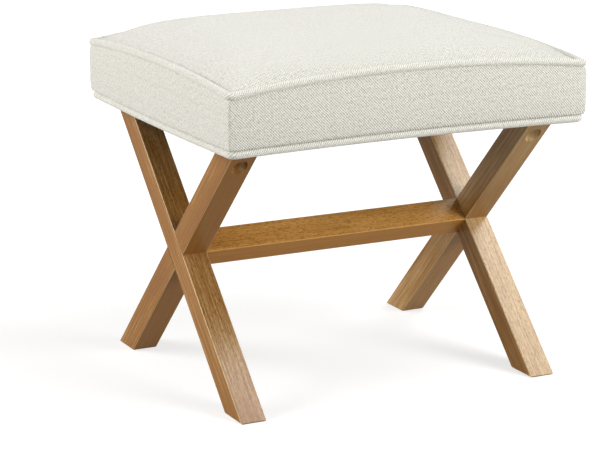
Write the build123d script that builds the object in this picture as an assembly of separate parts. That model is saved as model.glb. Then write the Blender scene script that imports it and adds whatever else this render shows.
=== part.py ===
from build123d import *
import math
import os

# X-frame stool: two X-shaped wooden end frames, a stretcher between their crossings and a boxed, piped seat.
# Millimetres. +X runs along the seat's long side, +Y to the back and +Z up.
# The origin is on the floor under the seat's middle.

# Overall sizes, over the top welt and up to the crown
SEAT_WIDTH = 508.0
SEAT_DEPTH = 457.0
STOOL_HEIGHT = 457.0

# Wooden X frames and stretcher
FRAME_WIDTH = 456.0
STOCK = 35.0
LEG_ANGLE = 45.0
CROSSING_HEIGHT = 177.0
LEG_TOP = 346.0
EDGE_ROUND = 1.5
FOOT_CHAMFER = 2.0

# Stretcher dowels, two at each end
DOWEL_DIAMETER = 10.0
DOWEL_IN_STRETCHER = 30.0
DOWEL_IN_CROSSING = 22.0
DOWEL_SPACING = 20.0
GLUE_CLEARANCE = 0.1
DOWEL_END_GAP = 0.5

# Seat bolts, up through the leg tops
BOLT_DIAMETER = 8.0
BOLT_LENGTH = 40.0
BOLT_HEAD_DIAMETER = 14.0
BOLT_HEAD_HEIGHT = 4.4
BOLT_SOCKET_ACROSS_FLATS = 5.0
BOLT_SOCKET_DEPTH = 2.6
BOLT_SETBACK = 3.0
BOLT_CLEARANCE = 0.5
THREAD_CLEARANCE = 0.1
COUNTERBORE_DIAMETER = 20.0
COUNTERBORE_SHOULDER = 11.0
WASHER_DIAMETER = 18.0
WASHER_THICKNESS = 1.6
TEE_NUT_FLANGE_DIAMETER = 22.0
TEE_NUT_FLANGE_THICKNESS = 1.5
TEE_NUT_BARREL_DIAMETER = 10.5
TEE_NUT_BARREL_LENGTH = 11.0
TEE_NUT_TO_RAIL_EDGE = 2.0

# Seat frame
RAIL_WIDTH = 50.0
RAIL_PAST_LEG = 3.5
RAIL_HEIGHT = 28.0
RAIL_INSET = 14.5
RAIL_CORNER_RADIUS = 1.5
RAIL_DOWEL_DIAMETER = 8.0
RAIL_DOWEL_LENGTH = 40.0
RAIL_DOWEL_SPACING = 22.0
DECK_THICKNESS = 9.0
SCREW_DIAMETER = 4.0
SCREW_LENGTH = 28.0
SCREW_HEAD_DIAMETER = 8.0
SCREW_HEAD_HEIGHT = 2.4
SCREWS_ON_LONG_SIDE = 4
SCREWS_ON_SHORT_SIDE = 2
SCREW_CLEARANCE = 0.1

# Cover and filling
CORNER_RADIUS = 16.0
FABRIC = 1.2
SOFT_GAP = 0.3
TOP_WELT_DIAMETER = 9.0
TOP_WELT_HEIGHT = 420.0
FRONT_BOW = 14.8
SIDE_BOW = 9.3
BAND_TOP_INSET = 4.5
BAND_BULGE = 3.4
BAND_BOTTOM_INSET = 6.5
BOTTOM_WELT_DIAMETER = 8.0
BOTTOM_WELT_INSET = 6.0
BOTTOM_WELT_DROP = 1.5
WELT_FLANGE_WIDTH = 20.0
TOP_PANEL_THICKNESS = 1.5
CROWN_SHOULDER = 70.0
CROWN_FLATNESS = 8.0
CROWN_SECTIONS = 16
BOW_SECTIONS = 6
TOP_WADDING = 4.0
WELT_TO_WADDING = 2.0
DUST_COVER_THICKNESS = 0.6
DUST_COVER_INSET = 15.0
STAPLE_CROWN = 10.0
STAPLE_LEG = 8.0
STAPLE_WIRE = 0.8
STAPLE_INSET = 24.0
STAPLES_ON_LONG_SIDE = 8
STAPLES_ON_SHORT_SIDE = 7
STAPLE_CLEARANCE = 0.1

# Places worked out from the sizes above
HALF_X = SEAT_WIDTH / 2
HALF_Y = SEAT_DEPTH / 2
RUN_X = HALF_X - CORNER_RADIUS
RUN_Y = HALF_Y - CORNER_RADIUS
LEG_X = FRAME_WIDTH / 2 - STOCK / 2
LEG_SLOPE = math.tan(math.radians(LEG_ANGLE))
LEG_TOP_Y = (LEG_TOP - CROSSING_HEIGHT) / LEG_SLOPE
BOLT_Y = LEG_TOP_Y - BOLT_SETBACK
SHOULDER_Z = LEG_TOP - COUNTERBORE_SHOULDER
FLANGE_Z = LEG_TOP + DUST_COVER_THICKNESS
RAIL_BOTTOM = FLANGE_Z + FABRIC
RAIL_TOP = RAIL_BOTTOM + RAIL_HEIGHT
DECK_TOP = RAIL_TOP + DECK_THICKNESS
RAIL_OUT_X = HALF_X - RAIL_INSET
RAIL_OUT_Y = HALF_Y - RAIL_INSET
LEG_IN_X = FRAME_WIDTH / 2 - STOCK
RAIL_IN_X = min(RAIL_OUT_X - RAIL_WIDTH, LEG_IN_X - RAIL_PAST_LEG)
RAIL_IN_Y = RAIL_OUT_Y - RAIL_WIDTH
BOLT_X = min(LEG_X, RAIL_OUT_X - TEE_NUT_FLANGE_DIAMETER / 2 - TEE_NUT_TO_RAIL_EDGE)
TOP_WELT_RADIUS = TOP_WELT_DIAMETER / 2
BOTTOM_WELT_RADIUS = BOTTOM_WELT_DIAMETER / 2
BOTTOM_WELT_S = BOTTOM_WELT_INSET + BOTTOM_WELT_RADIUS
BOTTOM_WELT_Z = LEG_TOP - BOTTOM_WELT_DROP + BOTTOM_WELT_RADIUS
BOTTOM_WELT_TOP = BOTTOM_WELT_Z + BOTTOM_WELT_RADIUS
BAND_BOTTOM = BOTTOM_WELT_TOP - SOFT_GAP
PANEL_INSET = TOP_WELT_DIAMETER + SOFT_GAP / 2
WADDING_DROP = TOP_PANEL_THICKNESS + SOFT_GAP
FOAM_DROP = WADDING_DROP + TOP_WADDING + SOFT_GAP
LONG_BAR = 2 * (LEG_TOP + STOCK)
BOW_STATIONS = [number / BOW_SECTIONS * 2 - 1 for number in range(BOW_SECTIONS + 1)]
CROWN_STATIONS = [number / CROWN_SECTIONS * 2 - 1 for number in range(CROWN_SECTIONS + 1)]


def upright(radius, bottom, top, x=0.0, y=0.0):
    """A vertical cylinder from one height to another."""
    return Pos(x, y, (bottom + top) / 2) * Cylinder(radius, top - bottom)


def block(x0, x1, y0, y1, z0, z1):
    """A box between two corners."""
    middle = Pos((x0 + x1) / 2, (y0 + y1) / 2, (z0 + z1) / 2)
    return middle * Box(x1 - x0, y1 - y0, z1 - z0)


def group(shapes):
    """Separate solids kept together in one node."""
    solids = []
    for shape in shapes:
        solids.extend(shape.solids())
    return Compound(children=solids)


def four_corners(shape):
    """A shape and its mirror images in the two upright middle planes."""
    left_pair = [shape, mirror(shape, Plane.XZ)]
    return left_pair + [mirror(one, Plane.YZ) for one in left_pair]


# Wooden frame


def leg_bar(lean, width_x, x):
    """A long square bar through the crossing, its top to the back for lean 1 and to the front for lean -1."""
    return Pos(x, 0, CROSSING_HEIGHT) * Rot(lean * (LEG_ANGLE - 90), 0, 0) * Box(width_x, STOCK, LONG_BAR)


def crossing_dowels(radius, end_gap):
    """Dowels at the left end of the stretcher, or with a larger radius and end gap their holes."""
    joint_x = -LEG_IN_X
    length = DOWEL_IN_STRETCHER + DOWEL_IN_CROSSING + 2 * end_gap
    middle_x = joint_x + (DOWEL_IN_STRETCHER - DOWEL_IN_CROSSING) / 2
    dowels = []
    for side in (-1, 1):
        place = Pos(middle_x, 0, CROSSING_HEIGHT + side * DOWEL_SPACING / 2)
        dowels.append(place * Rot(0, 90, 0) * Cylinder(radius, length))
    return dowels


def left_leg(lean):
    """A leg of the left frame: cut level at floor and seat, halved at the crossing and bored for its bolt."""
    leg = leg_bar(lean, STOCK, -LEG_X)
    leg = leg & block(-HALF_X, HALF_X, -LONG_BAR, LONG_BAR, 0, LEG_TOP)
    foot = leg.faces().sort_by(Axis.Z)[0]
    leg = chamfer(foot.edges(), min(FOOT_CHAMFER, STOCK / 8))
    along = Axis((0, 0, 0), (0, lean, LEG_SLOPE))
    leg = fillet(leg.edges().filter_by(along), min(EDGE_ROUND, STOCK / 4))
    notch_x = -LEG_X + lean * STOCK / 4
    leg = leg - leg_bar(-lean, STOCK / 2, notch_x)
    for hole in crossing_dowels(DOWEL_DIAMETER / 2 + GLUE_CLEARANCE, DOWEL_END_GAP):
        leg = leg - hole
    bolt_y = lean * BOLT_Y
    leg = leg - upright(COUNTERBORE_DIAMETER / 2, CROSSING_HEIGHT, SHOULDER_Z, -BOLT_X, bolt_y)
    return leg - upright(BOLT_DIAMETER / 2 + BOLT_CLEARANCE, SHOULDER_Z, LEG_TOP, -BOLT_X, bolt_y)


def stretcher():
    """The square bar on edge between the crossings, with its dowel holes."""
    half_y = STOCK / 2 / math.sin(math.radians(LEG_ANGLE))
    half_z = STOCK / 2 / math.cos(math.radians(LEG_ANGLE))
    outline = Polygon((half_y, 0), (0, half_z), (-half_y, 0), (0, -half_z), align=None)
    length = FRAME_WIDTH - 2 * STOCK
    end = Plane((-length / 2, 0, CROSSING_HEIGHT), x_dir=(0, 1, 0), z_dir=(1, 0, 0))
    bar = extrude(end * outline, length)
    bar = fillet(bar.edges().filter_by(Axis.X), min(EDGE_ROUND, STOCK / 4))
    for hole in crossing_dowels(DOWEL_DIAMETER / 2 + GLUE_CLEARANCE, DOWEL_END_GAP):
        bar = bar - hole - mirror(hole, Plane.YZ)
    return bar


# Seat bolts


def seat_bolt():
    """A button-head bolt with a hexagon socket, head down in the counterbore."""
    head_top = SHOULDER_Z - WASHER_THICKNESS
    head_bottom = head_top - BOLT_HEAD_HEIGHT
    head = upright(BOLT_HEAD_DIAMETER / 2, head_bottom, head_top)
    head = fillet(head.edges().group_by(Axis.Z)[0], BOLT_HEAD_HEIGHT * 0.6)
    socket = Plane((0, 0, head_bottom)) * RegularPolygon(BOLT_SOCKET_ACROSS_FLATS / 2, 6, major_radius=False)
    shank = upright(BOLT_DIAMETER / 2, head_top, head_top + BOLT_LENGTH)
    bolt = head + shank - extrude(socket, BOLT_SOCKET_DEPTH)
    return Pos(-BOLT_X, -BOLT_Y, 0) * bolt


def bolt_washer():
    """A flat washer against the counterbore's shoulder."""
    washer = upright(WASHER_DIAMETER / 2, SHOULDER_Z - WASHER_THICKNESS, SHOULDER_Z)
    bore = upright(BOLT_DIAMETER / 2 + BOLT_CLEARANCE, SHOULDER_Z - WASHER_THICKNESS, SHOULDER_Z)
    return Pos(-BOLT_X, -BOLT_Y, 0) * (washer - bore)


def tee_nut(gap, bored):
    """A tee nut let into the top of the rail, or with a gap and no bore the recess for it."""
    flange_bottom = RAIL_TOP - TEE_NUT_FLANGE_THICKNESS
    nut = upright(TEE_NUT_FLANGE_DIAMETER / 2 + gap, flange_bottom, RAIL_TOP)
    barrel_bottom = flange_bottom - TEE_NUT_BARREL_LENGTH - gap
    nut = nut + upright(TEE_NUT_BARREL_DIAMETER / 2 + gap, barrel_bottom, flange_bottom)
    if bored:
        nut = nut - upright(BOLT_DIAMETER / 2 + THREAD_CLEARANCE, RAIL_BOTTOM, RAIL_TOP)
    return Pos(-BOLT_X, -BOLT_Y, 0) * nut


def bolt_hole(bottom, top):
    """The clearance hole of one seat bolt through what lies above the leg."""
    return upright(BOLT_DIAMETER / 2 + BOLT_CLEARANCE, bottom, top, -BOLT_X, -BOLT_Y)


# Seat frame


def rail_dowel(gap, end_gap):
    """The two dowels in the front left rail joint, or their holes."""
    middle_y = -(RAIL_OUT_Y + RAIL_IN_Y) / 2
    middle_z = (RAIL_BOTTOM + RAIL_TOP) / 2
    dowels = []
    for side in (-1, 1):
        place = Pos(-RAIL_IN_X, middle_y + side * RAIL_DOWEL_SPACING / 2, middle_z)
        dowel = Cylinder(RAIL_DOWEL_DIAMETER / 2 + gap, RAIL_DOWEL_LENGTH + 2 * end_gap)
        dowels.append(place * Rot(0, 90, 0) * dowel)
    return dowels


def deck_screw(gap):
    """A countersunk screw standing on the origin of its place, its head flush with the deck."""
    tip = DECK_TOP - SCREW_LENGTH - gap
    neck = DECK_TOP - SCREW_HEAD_HEIGHT
    shank = upright(SCREW_DIAMETER / 2 + gap, tip, neck)
    cone = Cone(SCREW_DIAMETER / 2 + gap, SCREW_HEAD_DIAMETER / 2 + gap, SCREW_HEAD_HEIGHT)
    return shank + Pos(0, 0, (neck + DECK_TOP) / 2) * cone


def spread(half_length, count):
    """Evenly spaced places along a side, with half a step at each end."""
    step = 2 * half_length / count
    return [-half_length + step * (number + 0.5) for number in range(count)]


def screw_places():
    """Deck screws along the middle of each rail, clear of the tee nuts."""
    middle_x = (RAIL_OUT_X + RAIL_IN_X) / 2
    middle_y = (RAIL_OUT_Y + RAIL_IN_Y) / 2
    places = []
    for side in (-1, 1):
        places.extend((x, side * middle_y) for x in spread(RAIL_IN_X, SCREWS_ON_LONG_SIDE))
        places.extend((side * middle_x, y) for y in spread(RAIL_IN_Y, SCREWS_ON_SHORT_SIDE))
    return places


def seat_cuts():
    """Everything bored into the rails: bolts, tee nuts, dowels, screws and staples."""
    cuts = []
    cuts.extend(four_corners(bolt_hole(RAIL_BOTTOM, RAIL_TOP)))
    cuts.extend(four_corners(tee_nut(GLUE_CLEARANCE, False)))
    for dowel in rail_dowel(GLUE_CLEARANCE, DOWEL_END_GAP):
        cuts.extend(four_corners(dowel))
    cuts.extend(Pos(x, y, 0) * deck_screw(SCREW_CLEARANCE) for x, y in screw_places())
    cuts.extend(staples(STAPLE_CLEARANCE))
    return cuts


def cut_all(solid, cuts):
    """A solid less every cut that reaches its box."""
    box = solid.bounding_box()
    near = [cut for cut in cuts if box.overlaps(cut.bounding_box())]
    return solid - near


def side_rail():
    """The left rail, the full depth of the seat frame, its two outer corners eased."""
    rail = block(-RAIL_OUT_X, -RAIL_IN_X, -RAIL_OUT_Y, RAIL_OUT_Y, RAIL_BOTTOM, RAIL_TOP)
    outer = rail.edges().filter_by(Axis.Z).group_by(Axis.X)[0]
    return fillet(outer, RAIL_CORNER_RADIUS)


def cross_rail():
    """The front rail, between the side rails."""
    return block(-RAIL_IN_X, RAIL_IN_X, -RAIL_OUT_Y, -RAIL_IN_Y, RAIL_BOTTOM, RAIL_TOP)


def rounded_plan(inset, bottom, top):
    """An upright block with the seat's rounded plan, drawn in by an inset."""
    radius = max(CORNER_RADIUS - inset, RAIL_CORNER_RADIUS)
    plan = RectangleRounded(SEAT_WIDTH - 2 * inset, SEAT_DEPTH - 2 * inset, radius)
    return extrude(Plane((0, 0, bottom)) * plan, top - bottom)


# Cover: pieces that follow the seat's edge. A section is drawn inwards from the seat's outline and upwards.


def bow(bow_height, share):
    """How far the top seam rises at a share of the way from the middle of a side to its corner."""
    return bow_height * (1 - share * share)


def front_plane(share):
    """The upright plane across the front side at a share of its straight run."""
    return Plane((share * RUN_X, -HALF_Y, 0), x_dir=(0, 1, 0), z_dir=(1, 0, 0))


def left_plane(share):
    """The upright plane across the left side at a share of its straight run."""
    return Plane((-HALF_X, share * RUN_Y, 0), x_dir=(1, 0, 0), z_dir=(0, -1, 0))


def side_run(plane_at, section_at, bow_height):
    """One straight run of the cover, lofted through its sections from corner to corner."""
    return loft([plane_at(share) * section_at(bow(bow_height, share)) for share in BOW_STATIONS])


def corner_turn(section_at, start, degrees):
    """The front left corner of the cover, turned from the front run for start 1 or from the left run for -1."""
    axis = Axis((-RUN_X, -RUN_Y, 0), (0, 0, -start))
    plane = front_plane(-1.0) if start > 0 else left_plane(-1.0)
    return revolve(plane * section_at(0.0), axis, degrees)


def band(section_at, plane_at, bow_height, start, across):
    """One side band of the cover, from corner seam to corner seam."""
    turn = corner_turn(section_at, start, 45)
    return side_run(plane_at, section_at, bow_height) + turn + mirror(turn, across)


def ring(section_at, front_bow, side_bow):
    """A closed ring round the seat: four runs and four corners."""
    front = side_run(front_plane, section_at, front_bow)
    left = side_run(left_plane, section_at, side_bow)
    runs = [front, mirror(front, Plane.XZ), left, mirror(left, Plane.YZ)]
    pieces = runs + four_corners(corner_turn(section_at, 1, 90))
    whole = pieces[0]
    return whole + pieces[1:]


def arc_section(outer_top, outer_middle, outer_bottom, inner, top, bottom):
    """A section whose outer side is an arc and whose inner side is an arc or a straight line."""
    middle = (top + bottom) / 2
    outer_arc = ThreePointArc((outer_bottom, bottom), (outer_middle, middle), (outer_top, top))
    if len(inner) == 3:
        inner_side = ThreePointArc((inner[0], top), (inner[1], middle), (inner[2], bottom))
    else:
        inner_side = Line((inner[0], top), (inner[1], bottom))
    upper = Line((outer_top, top), (inner[0], top))
    lower = Line((inner[-1], bottom), (outer_bottom, bottom))
    return make_face([outer_arc, upper, inner_side, lower])


def band_line(offset):
    """The band's distances in from the outline at its top, middle and bottom."""
    middle = (BAND_TOP_INSET + BAND_BOTTOM_INSET) / 2 - BAND_BULGE
    return [BAND_TOP_INSET + offset, middle + offset, BAND_BOTTOM_INSET + offset]


def band_section(rise):
    """The fabric band between the two welts."""
    top = TOP_WELT_HEIGHT + rise - TOP_WELT_RADIUS - SOFT_GAP
    return arc_section(*band_line(0), band_line(FABRIC), top, BAND_BOTTOM)


def side_wadding_section(rise):
    """The wadding between the band and the foam, deck and rails."""
    top = TOP_WELT_HEIGHT + rise - TOP_WELT_RADIUS - WELT_TO_WADDING
    inner = RAIL_INSET - SOFT_GAP
    bottom = BOTTOM_WELT_TOP + SOFT_GAP
    return arc_section(*band_line(FABRIC + SOFT_GAP), [inner, inner], top, bottom)


def top_welt_section(radius):
    """A round section of the top welt, as a function of the seam's rise."""
    return lambda rise: Pos(TOP_WELT_RADIUS, TOP_WELT_HEIGHT + rise) * Circle(radius)


def bottom_welt_section(radius):
    """A round section of the bottom welt."""
    return lambda rise: Pos(BOTTOM_WELT_S, BOTTOM_WELT_Z + rise) * Circle(radius)


def bottom_welt():
    """The bottom welt's cover with the flat flange that is tacked under the rails."""
    tube = ring(bottom_welt_section(BOTTOM_WELT_RADIUS), 0, 0)
    flange_out = BOTTOM_WELT_S
    flange_in = BOTTOM_WELT_S + BOTTOM_WELT_RADIUS + WELT_FLANGE_WIDTH
    flange = rounded_plan(flange_out, FLANGE_Z, RAIL_BOTTOM) - rounded_plan(flange_in, FLANGE_Z, RAIL_BOTTOM)
    cover = tube + flange - ring(bottom_welt_section(BOTTOM_WELT_RADIUS - FABRIC), 0, 0)
    bolt_holes = four_corners(bolt_hole(FLANGE_Z, RAIL_BOTTOM))
    return cut_all(cover, bolt_holes + staples(STAPLE_CLEARANCE))


# Cover: crowned pieces, lofted through upright sections across the seat


def crown_profile(share, drop):
    """The crown's line across the seat at a share of its half width: two shoulders and a long arc between."""
    half = HALF_Y - TOP_WELT_RADIUS
    x = share * (HALF_X - TOP_WELT_RADIUS)
    edge = TOP_WELT_HEIGHT - drop + bow(FRONT_BOW, min(1.0, abs(x) / RUN_X))
    side_middle = TOP_WELT_HEIGHT - drop + SIDE_BOW
    swell = (1 - abs(share) ** CROWN_FLATNESS) ** 2
    middle = side_middle + (STOOL_HEIGHT - TOP_WELT_HEIGHT - SIDE_BOW) * swell
    radius = half * half / (2 * SIDE_BOW)
    turn = half - CROWN_SHOULDER
    turn_z = middle - radius + math.sqrt(radius * radius - turn * turn)
    slope = (math.sqrt(radius * radius - turn * turn), -turn)
    right = TangentArc((turn, turn_z), (half, edge), tangent=slope)
    left = TangentArc((-turn, turn_z), (-half, edge), tangent=(-slope[0], slope[1]))
    main = ThreePointArc((-turn, turn_z), (0, middle), (turn, turn_z))
    return half, edge, [left, main, right]


def crown_section(share, upper_drop, lower_drop):
    """The closed section of a crowned layer between two depths below the crown, or down to the deck."""
    half, edge, upper = crown_profile(share, upper_drop)
    if lower_drop is None:
        low_edge = DECK_TOP
        lower = [Line((-half, low_edge), (half, low_edge))]
    else:
        low_edge = edge + upper_drop - lower_drop
        lower = crown_profile(share, lower_drop)[2]
    sides = [Line((half, edge), (half, low_edge)), Line((-half, edge), (-half, low_edge))]
    plane = Plane((share * (HALF_X - TOP_WELT_RADIUS), 0, 0), x_dir=(0, 1, 0), z_dir=(1, 0, 0))
    return plane * make_face(upper + sides + lower)


def crowned(inset, upper_drop, lower_drop):
    """A crowned layer of the seat, trimmed to the seat's plan."""
    body = loft([crown_section(share, upper_drop, lower_drop) for share in CROWN_STATIONS])
    return body & rounded_plan(inset, LEG_TOP, STOOL_HEIGHT + STOCK)


# Underside


def staples(gap):
    """Wire staples through the dust cover and the welt's flange into the rails, or their slots."""
    wire = STAPLE_WIRE + 2 * gap
    legs = []
    for side in (-1, 1):
        middle = side * (STAPLE_CROWN - STAPLE_WIRE) / 2
        top = LEG_TOP + STAPLE_LEG + gap
        legs.append(block(middle - wire / 2, middle + wire / 2, -wire / 2, wire / 2, LEG_TOP, top))
    crown = block(-STAPLE_CROWN / 2, STAPLE_CROWN / 2, -wire / 2, wire / 2, LEG_TOP - STAPLE_WIRE, LEG_TOP)
    staple = crown + legs
    half_x = HALF_X - STAPLE_INSET
    half_y = HALF_Y - STAPLE_INSET
    places = []
    for side in (-1, 1):
        places.extend(Pos(x, side * half_y, 0) for x in spread(half_x, STAPLES_ON_LONG_SIDE))
        places.extend(Pos(side * half_x, y, 0) * Rot(0, 0, 90) for y in spread(half_y, STAPLES_ON_SHORT_SIDE))
    return [place * staple for place in places]


def dust_cover():
    """The thin sheet under the seat, bored for the bolts and slotted by its staples."""
    sheet = rounded_plan(DUST_COVER_INSET, LEG_TOP, FLANGE_Z)
    return cut_all(sheet, four_corners(bolt_hole(LEG_TOP, FLANGE_Z)) + staples(STAPLE_CLEARANCE))


def build():
    """Every node of the stool by name."""
    turned = Rot(0, 0, 180)
    foot_front = left_leg(1)
    foot_back = left_leg(-1)
    cuts = seat_cuts()
    left_rail = side_rail()
    front_rail = cross_rail()
    deck = rounded_plan(RAIL_INSET, RAIL_TOP, DECK_TOP)
    dowels = crossing_dowels(DOWEL_DIAMETER / 2, 0)
    rail_dowels = rail_dowel(0, 0)
    front_band = band(band_section, front_plane, FRONT_BOW, 1, Plane.YZ)
    left_band = band(band_section, left_plane, SIDE_BOW, -1, Plane.XZ)
    top_cord = ring(top_welt_section(TOP_WELT_RADIUS - FABRIC), FRONT_BOW, SIDE_BOW)
    bottom_cord = ring(bottom_welt_section(BOTTOM_WELT_RADIUS - FABRIC), 0, 0)
    return {
        "left_leg_foot_front": foot_front,
        "left_leg_foot_back": foot_back,
        "right_leg_foot_front": turned * foot_back,
        "right_leg_foot_back": turned * foot_front,
        "stretcher": stretcher(),
        "stretcher_dowels": group(dowels + [mirror(one, Plane.YZ) for one in dowels]),
        "seat_bolts": group(four_corners(seat_bolt())),
        "seat_bolt_washers": group(four_corners(bolt_washer())),
        "tee_nuts": group(four_corners(tee_nut(0, True))),
        "left_rail": cut_all(left_rail, cuts),
        "right_rail": cut_all(mirror(left_rail, Plane.YZ), cuts),
        "front_rail": cut_all(front_rail, cuts),
        "back_rail": cut_all(mirror(front_rail, Plane.XZ), cuts),
        "rail_dowels": group([copy for one in rail_dowels for copy in four_corners(one)]),
        "deck_panel": cut_all(deck, [Pos(x, y, 0) * deck_screw(SCREW_CLEARANCE) for x, y in screw_places()]),
        "deck_screws": group([Pos(x, y, 0) * deck_screw(0) for x, y in screw_places()]),
        "foam_pad": crowned(RAIL_INSET, FOAM_DROP, None),
        "top_wadding": crowned(PANEL_INSET + SOFT_GAP, WADDING_DROP, WADDING_DROP + TOP_WADDING),
        "side_wadding": ring(side_wadding_section, FRONT_BOW, SIDE_BOW),
        "top_panel": crowned(PANEL_INSET, 0, TOP_PANEL_THICKNESS),
        "front_band": front_band,
        "back_band": mirror(front_band, Plane.XZ),
        "left_band": left_band,
        "right_band": mirror(left_band, Plane.YZ),
        "top_welt": ring(top_welt_section(TOP_WELT_RADIUS), FRONT_BOW, SIDE_BOW) - top_cord,
        "top_welt_cord": top_cord,
        "bottom_welt": bottom_welt(),
        "bottom_welt_cord": bottom_cord,
        "dust_cover": dust_cover(),
        "dust_cover_staples": group(staples(0)),
    }


os.makedirs("parts", exist_ok=True)
for node, shape in build().items():
    export_step(shape, f"parts/{node}.step")
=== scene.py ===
import math

import bmesh
import bpy
import numpy as np
from mathutils import Matrix, Vector


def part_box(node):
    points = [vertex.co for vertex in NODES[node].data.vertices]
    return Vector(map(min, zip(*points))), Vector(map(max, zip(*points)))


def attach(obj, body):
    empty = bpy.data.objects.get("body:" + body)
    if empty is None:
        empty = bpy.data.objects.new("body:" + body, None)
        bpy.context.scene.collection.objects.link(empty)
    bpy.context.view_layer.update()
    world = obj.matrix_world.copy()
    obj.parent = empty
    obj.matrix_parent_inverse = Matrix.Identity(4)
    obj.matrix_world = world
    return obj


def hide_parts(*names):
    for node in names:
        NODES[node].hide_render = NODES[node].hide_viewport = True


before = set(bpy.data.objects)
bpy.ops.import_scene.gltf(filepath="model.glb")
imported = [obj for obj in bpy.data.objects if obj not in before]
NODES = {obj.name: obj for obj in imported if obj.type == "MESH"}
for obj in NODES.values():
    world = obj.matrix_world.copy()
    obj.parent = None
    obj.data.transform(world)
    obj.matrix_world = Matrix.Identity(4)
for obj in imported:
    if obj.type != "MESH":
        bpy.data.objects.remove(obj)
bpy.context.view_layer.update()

# Sizes in metres. What the solids already fix is read from the frame.
WELT_LOW, WELT_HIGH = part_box("top_welt")
HALF_X, HALF_Y = WELT_HIGH.x, WELT_HIGH.y
CROWN_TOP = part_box("top_panel")[1].z
DECK_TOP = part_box("deck_panel")[1].z
RAIL_OUT_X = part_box("right_rail")[1].x
RAIL_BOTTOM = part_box("right_rail")[0].z
RAIL_INSET = HALF_X - RAIL_OUT_X
COVER_LOW, COVER_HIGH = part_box("dust_cover")
DUST_COVER_INSET = HALF_X - COVER_HIGH.x
BOTTOM_WELT_LOW, BOTTOM_WELT_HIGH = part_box("bottom_welt")
STAPLE_LOW, STAPLE_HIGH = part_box("dust_cover_staples")

# Seat edge: the seams that hold the two pipings, their bows between the corners, and the corner rounds
TOP_PIPING_RADIUS = 0.0051
TOP_SEAM_INSET = 0.0051
TOP_SEAM_RISE = 0.0043
TOP_SEAM_Z = WELT_LOW.z + TOP_SEAM_RISE
FRONT_BOW = 0.0148
SIDE_BOW = 0.0093
SEAM_CORNER_RADIUS = 0.0054
BAND_CORNER_RADIUS = 0.0022
BOTTOM_PIPING_RADIUS = 0.0053
BOTTOM_SEAM_TUCK = 0.0023
BOTTOM_SEAM_INSET = HALF_X - BOTTOM_WELT_HIGH.x + BOTTOM_SEAM_TUCK
BOTTOM_SEAM_RISE = 0.0034
BOTTOM_SEAM_Z = BOTTOM_WELT_LOW.z + BOTTOM_SEAM_RISE
BOTTOM_FRONT_BOW = 0.0030
BOTTOM_SIDE_BOW = -0.0020
BOTTOM_CORNER_RADIUS = 0.0054
TAPE_WIDTH = 0.0240
PIPING_SIDES = 14
PIPING_LUMPS = 0.12
PIPING_LUMP_SCALE = 45.0
PIPING_MERGE = 0.00005

# Crowned top: the filled height at the edge, how square the shoulders are, and the dip behind the piping
CROWN_START = 0.0085
CROWN_EDGE_RISE = 0.0015
CROWN_SQUARENESS = 8.56
CROWN_SHOULDER = 1.20
BOW_SHARPNESS = 6
SEAM_DIP = 0.0020
SEAM_NOTCH = 0.0050
SEAM_FADE = 0.0024

# Painted shade in the creases along the seams, darker cloth where shade falls beside the pipings: how far it
# reaches on the top, and its strength on the bands' outer rows
PAINTED_SEAM_SHADE_WIDTH = 0.0170
PAINTED_BAND_SEAM_SHADES = {0: 2.4, 1: 0.8, -2: 1.5, -1: 3.2}

# Side bands between the two pipings
BAND_TOP_INSET = 0.0016
BAND_BOTTOM_INSET = 0.0040
BAND_FACE_INSET = 0.0008
BAND_SQUARENESS = 8.0
BAND_ROWS = 15
BAND_TOP_DROP = 0.0034
BAND_BOTTOM_RISE = 0.0050
CORNER_SEAM_DEPTH = 0.0002
CORNER_SEAM_SHARES = ((-1, 0.4), (0, 1.0), (1, 0.4))
CORNER_TUCK_TOP = 0.0030
CORNER_TUCK_FACE = 0.0013
CORNER_TUCK_SHARPNESS = 8
FILLING_GAP = 0.0003
RAIL_CORNER_RADIUS = 0.0018

# Mesh stations: cells along the straight runs, closer ones at their ends, and shares of a corner round
RUN_CELLS_X = 76
RUN_CELLS_Y = 68
RUN_MIDDLE = 0.95
END_SHARES = (0.0, 0.0035, 0.0075, 0.0125, 0.020, 0.032)
CORNER_SHARES = (0.385, 0.646, 0.846, 1.0)

# Filling under pressure: the slack it takes up, how far from the edge that is in full, and what holds it
SWELL = 0.0040
SLACK_WIDTH = 0.0900
SWELL_CAP = 0.0060
SWELL_FRAMES = 20
SWELL_PRESSURE = 4.0
SEAM_HOLD = 0.0080

# Underside: the dust cover's sag over half an opening between the rails, and the staples
DUST_COVER_SAG = 0.0030
DUST_COVER_OPEN_X = 0.185
DUST_COVER_OPEN_Y = 0.160
STAPLES_ON_LONG_SIDE = 8
STAPLES_ON_SHORT_SIDE = 7
STAPLE_CROWN = 0.0100
STAPLE_LEG = 0.0080
STAPLE_WIRE = 0.0008

# Weave, in yarns: how far the yarns wander, the cloth's own tone and what each layer adds to it
YARN_WANDER = 1.2
YARN_WANDER_SCALE = 0.11
CLOTH_TONE = 0.22
# How much the painted shade along the seams darkens the cloth's tone
PAINTED_SEAM_SHADE_TONE = -0.09
OVER_TONE, COUNTER_TONE, ROUND_TONE = 0.54, 0.24, 0.18
YARN_UNEVEN, STITCH_UNEVEN, FIBRE_UNEVEN, SLUB_UNEVEN = 0.2, 0.25, 1.2, 1.6
FIBRE_SCALE, SLUB_SCALE = 0.55, 0.26
FIBRE_RELIEF = 0.4
CLOTH_BUMP = 0.6

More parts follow.
